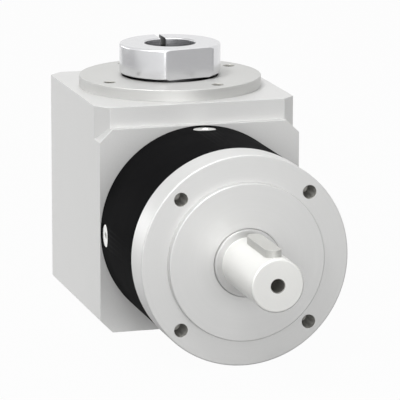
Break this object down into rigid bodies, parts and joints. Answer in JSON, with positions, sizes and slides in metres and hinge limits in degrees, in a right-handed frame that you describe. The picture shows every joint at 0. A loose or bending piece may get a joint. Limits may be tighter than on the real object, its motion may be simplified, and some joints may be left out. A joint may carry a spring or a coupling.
{
  "type": "right angle planetary gearbox",
  "caption": "Right angle planetary gearbox with a keyed output shaft on a round flange, a black ring gear body and a slit clamping hub on top for a motor shaft.",
  "frame": {"origin": "centre of the output flange's mounting face, on the output shaft's axis", "axes": "-Y along the output shaft towards its free end, +Z along the input axis towards the clamping hub's mouth, +X to the right seen from the output side"},
  "size_m": [0.08, 0.183, 0.1052],
  "materials": {
    "housing_grey": "fine bead-blasted, anodised light grey",
    "flange_steel": "satin, passivated",
    "black_ring": "satin black oxide",
    "shaft_steel": "ground and polished",
    "key_steel": "drawn bright steel",
    "gear_steel": "hobbed and hardened",
    "bearing_steel": "ground bearing steel",
    "seal_rubber": "moulded nitrile",
    "spring_steel": "phosphated spring steel",
    "washer_bronze": "plain bronze",
    "zinc_screws": "zinc plated",
    "dark_screws": "black oxide"
  },
  "bodies": {
    "housing": {"angle_housing": "housing_grey", "rear_cover": "housing_grey", "rear_cover_screws": "zinc_screws", "ring_gear": "black_ring", "ring_gear_screws": "zinc_screws", "output_flange": "flange_steel", "output_seal": "seal_rubber", "output_circlip": "spring_steel", "output_front_bearing_cup": "bearing_steel", "output_rear_bearing_cup": "bearing_steel", "sun_bearing_circlip": "spring_steel", "sun_front_bearing_outer_ring": "bearing_steel", "sun_rear_bearing_outer_ring": "bearing_steel", "input_flange": "housing_grey", "input_circlip": "spring_steel", "input_seal": "seal_rubber", "input_lower_bearing_outer_ring": "bearing_steel", "input_upper_bearing_outer_ring": "bearing_steel"},
    "output_carrier": {"output_shaft": "shaft_steel", "shaft_key": "key_steel", "planet_pins": "bearing_steel", "planet_washers": "washer_bronze", "carrier_plate": "shaft_steel", "carrier_screws": "dark_screws", "output_front_bearing_cone": "bearing_steel", "output_rear_bearing_cone": "bearing_steel"},
    "sun": {"sun_shaft": "shaft_steel", "sun_shaft_rings": "spring_steel", "sun_shaft_key": "key_steel", "output_bevel_gear": "gear_steel", "sun_front_bearing_inner_ring": "bearing_steel", "sun_rear_bearing_inner_ring": "bearing_steel"},
    "input": {"input_clamp_hub": "shaft_steel", "clamp_screw": "dark_screws", "input_bevel_gear": "gear_steel", "input_shaft_key": "key_steel", "input_shaft_ring": "spring_steel", "input_lower_bearing_inner_ring": "bearing_steel", "input_upper_bearing_inner_ring": "bearing_steel"},
    "output_front_rollers": {"output_front_bearing_rollers": "bearing_steel"},
    "output_rear_rollers": {"output_rear_bearing_rollers": "bearing_steel"},
    "planet_1": {"planet_gear_1": "gear_steel"},
    "needles_1": {"planet_needles_1": "bearing_steel"},
    "planet_2": {"planet_gear_2": "gear_steel"},
    "needles_2": {"planet_needles_2": "bearing_steel"},
    "planet_3": {"planet_gear_3": "gear_steel"},
    "needles_3": {"planet_needles_3": "bearing_steel"}
  },
  "joints": [
    {"name": "output_spin", "type": "hinge", "parent": "housing", "child": "output_carrier", "pos_m": [0, 0, 0], "axis": [0, 1, 0], "continuous": true},
    {"name": "sun_spin", "type": "hinge", "parent": "housing", "child": "sun", "pos_m": [0, 0.07, 0], "axis": [0, 1, 0], "continuous": true},
    {"name": "input_spin", "type": "hinge", "parent": "housing", "child": "input", "pos_m": [0, 0.103, 0.04], "axis": [0, 0, 1], "continuous": true},
    {"name": "planet_1_spin", "type": "hinge", "parent": "output_carrier", "child": "planet_1", "pos_m": [0, 0.043, -0.01875], "axis": [0, 1, 0], "continuous": true},
    {"name": "needles_1_roll", "type": "hinge", "parent": "output_carrier", "child": "needles_1", "pos_m": [0, 0.043, -0.01875], "axis": [0, 1, 0], "continuous": true},
    {"name": "planet_2_spin", "type": "hinge", "parent": "output_carrier", "child": "planet_2", "pos_m": [-0.01624, 0.043, 0.00937], "axis": [0, 1, 0], "continuous": true},
    {"name": "needles_2_roll", "type": "hinge", "parent": "output_carrier", "child": "needles_2", "pos_m": [-0.01624, 0.043, 0.00937], "axis": [0, 1, 0], "continuous": true},
    {"name": "planet_3_spin", "type": "hinge", "parent": "output_carrier", "child": "planet_3", "pos_m": [0.01624, 0.043, 0.00937], "axis": [0, 1, 0], "continuous": true},
    {"name": "needles_3_roll", "type": "hinge", "parent": "output_carrier", "child": "needles_3", "pos_m": [0.01624, 0.043, 0.00937], "axis": [0, 1, 0], "continuous": true},
    {"name": "output_front_rollers_roll", "type": "hinge", "parent": "housing", "child": "output_front_rollers", "pos_m": [0, 0.012, 0], "axis": [0, 1, 0], "continuous": true},
    {"name": "output_rear_rollers_roll", "type": "hinge", "parent": "housing", "child": "output_rear_rollers", "pos_m": [0, 0.022, 0], "axis": [0, 1, 0], "continuous": true}
  ],
  "couplings": [
    {"joint": "sun_spin", "follows": "output_spin", "ratio": 5},
    {"joint": "input_spin", "follows": "output_spin", "ratio": 5},
    {"joint": "planet_1_spin", "follows": "output_spin", "ratio": -2.6667},
    {"joint": "needles_1_roll", "follows": "output_spin", "ratio": -1.6604},
    {"joint": "planet_2_spin", "follows": "output_spin", "ratio": -2.6667},
    {"joint": "needles_2_roll", "follows": "output_spin", "ratio": -1.6604},
    {"joint": "planet_3_spin", "follows": "output_spin", "ratio": -2.6667},
    {"joint": "needles_3_roll", "follows": "output_spin", "ratio": -1.6604},
    {"joint": "output_front_rollers_roll", "follows": "output_spin", "ratio": 0.4341},
    {"joint": "output_rear_rollers_roll", "follows": "output_spin", "ratio": 0.4341}
  ]
}
